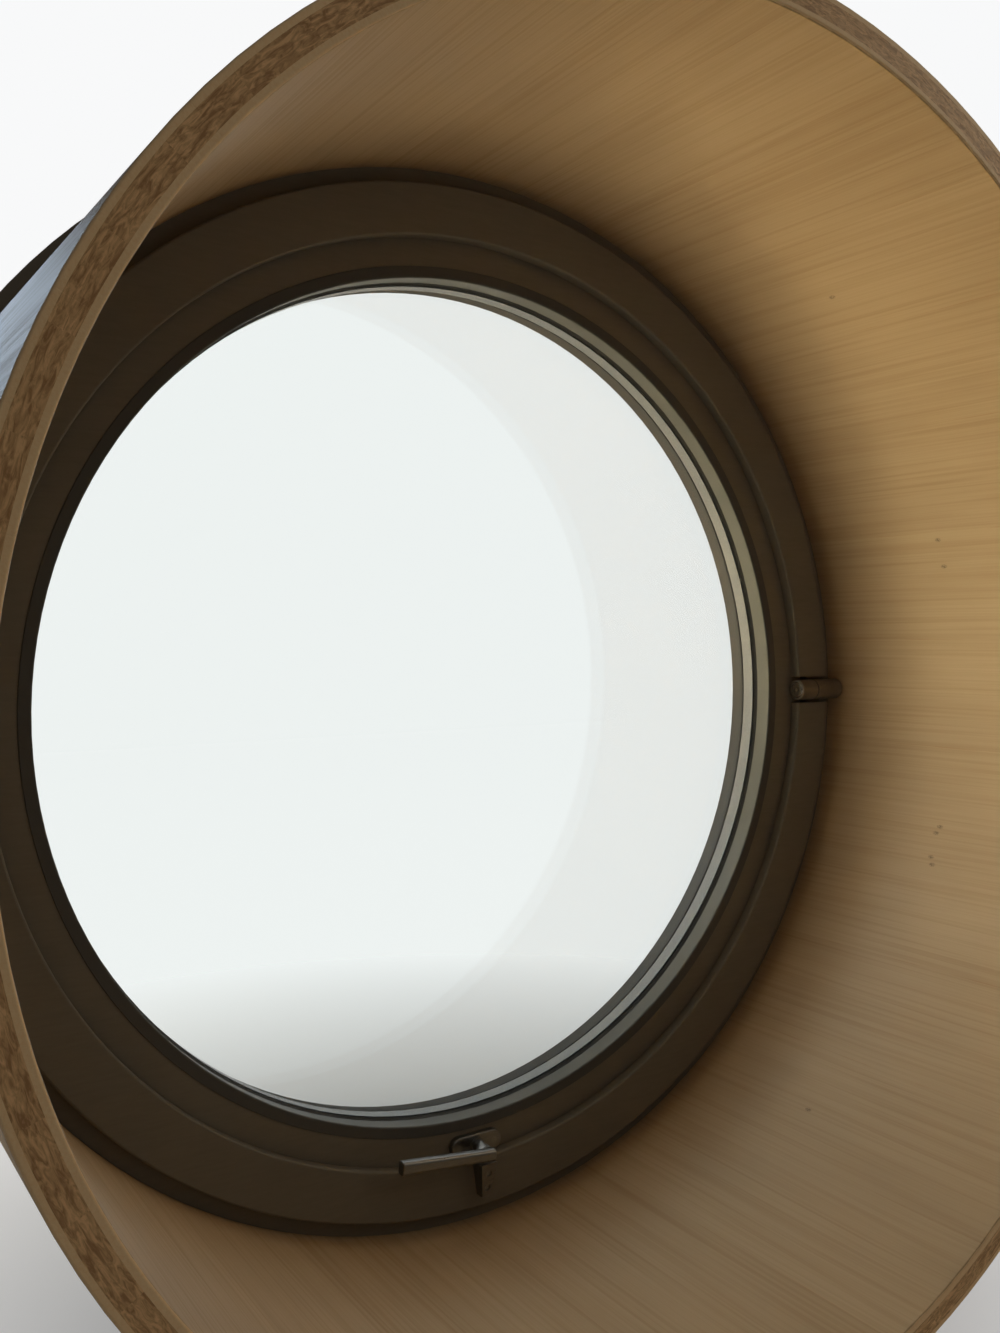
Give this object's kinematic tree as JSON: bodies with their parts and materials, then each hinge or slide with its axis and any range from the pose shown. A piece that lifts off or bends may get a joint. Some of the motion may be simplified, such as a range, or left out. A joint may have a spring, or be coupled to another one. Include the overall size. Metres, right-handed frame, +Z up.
{
  "type": "porthole window",
  "caption": "Round centre-pivot window: grey timber frame and sash with double glazing, lever handle and a deep pale timber reveal lining.",
  "frame": {"origin": "the window's centre, on the frame's outdoor face, at the middle of the wall fixings", "axes": "+Y points outdoors along the window's axis, +Z is up, +X is to the right seen from the room"},
  "size_m": [1.1958, 0.516, 1.196],
  "materials": {
    "lacquered_timber": "warm grey satin lacquer",
    "spruce_board": "oiled pale spruce, fine straight grain",
    "black_rubber": "matt black",
    "clear_glass": "clear float glass",
    "spacer_metal": "dull mill finish",
    "satin_metal": "satin anodised",
    "painted_pivot": "bronze-grey satin coating",
    "bright_steel": "turned, bright",
    "bearing_bronze": "machined",
    "nylon": "dark nylon",
    "plated_steel": "zinc plated"
  },
  "bodies": {
    "frame": {"outer_frame": "lacquered_timber", "reveal_lining": "spruce_board", "lining_screws": "plated_steel", "lower_stop_ring": "lacquered_timber", "lower_stop_seal": "black_rubber", "lower_stop_screws": "plated_steel", "upper_outer_stop": "lacquered_timber", "upper_outer_stop_seal": "black_rubber", "upper_outer_stop_screws": "plated_steel", "strike_ramp": "satin_metal", "strike_screws": "plated_steel", "frame_knuckle_screws": "plated_steel", "left_frame_knuckle": "painted_pivot", "left_pivot_pin": "plated_steel", "left_cap_screw": "bright_steel", "left_set_screw": "plated_steel", "right_frame_knuckle": "painted_pivot", "right_pivot_pin": "plated_steel", "right_cap_screw": "bright_steel", "right_set_screw": "plated_steel"},
    "sash": {"sash_ring": "lacquered_timber", "upper_cover_ring": "lacquered_timber", "upper_cover_seal": "black_rubber", "upper_cover_screws": "plated_steel", "lower_outer_cover": "lacquered_timber", "lower_outer_cover_seal": "black_rubber", "lower_outer_cover_screws": "plated_steel", "glazing_bead": "lacquered_timber", "inner_gasket": "black_rubber", "inner_pane": "clear_glass", "spacer_bar": "spacer_metal", "outer_pane": "clear_glass", "outer_gasket": "black_rubber", "setting_blocks": "nylon", "sash_knuckle_screws": "plated_steel", "handle_rosette": "satin_metal", "rosette_screws": "plated_steel", "left_sash_knuckle": "painted_pivot", "left_pivot_bush": "bearing_bronze", "left_friction_washer": "nylon", "right_sash_knuckle": "painted_pivot", "right_pivot_bush": "bearing_bronze", "right_friction_washer": "nylon"},
    "handle": {"lever_handle": "satin_metal", "handle_spindle": "plated_steel", "spindle_retainer": "plated_steel", "grub_screw": "plated_steel"}
  },
  "joints": [
    {"name": "sash_pivot", "type": "hinge", "parent": "frame", "child": "sash", "pos_m": [0, -0.083, 0], "axis": [1, 0, 0], "range_deg": [0, 60]},
    {"name": "handle_turn", "type": "hinge", "parent": "sash", "child": "handle", "pos_m": [0, -0.1, -0.477], "axis": [0, 1, 0], "range_deg": [0, 90]}
  ]
}
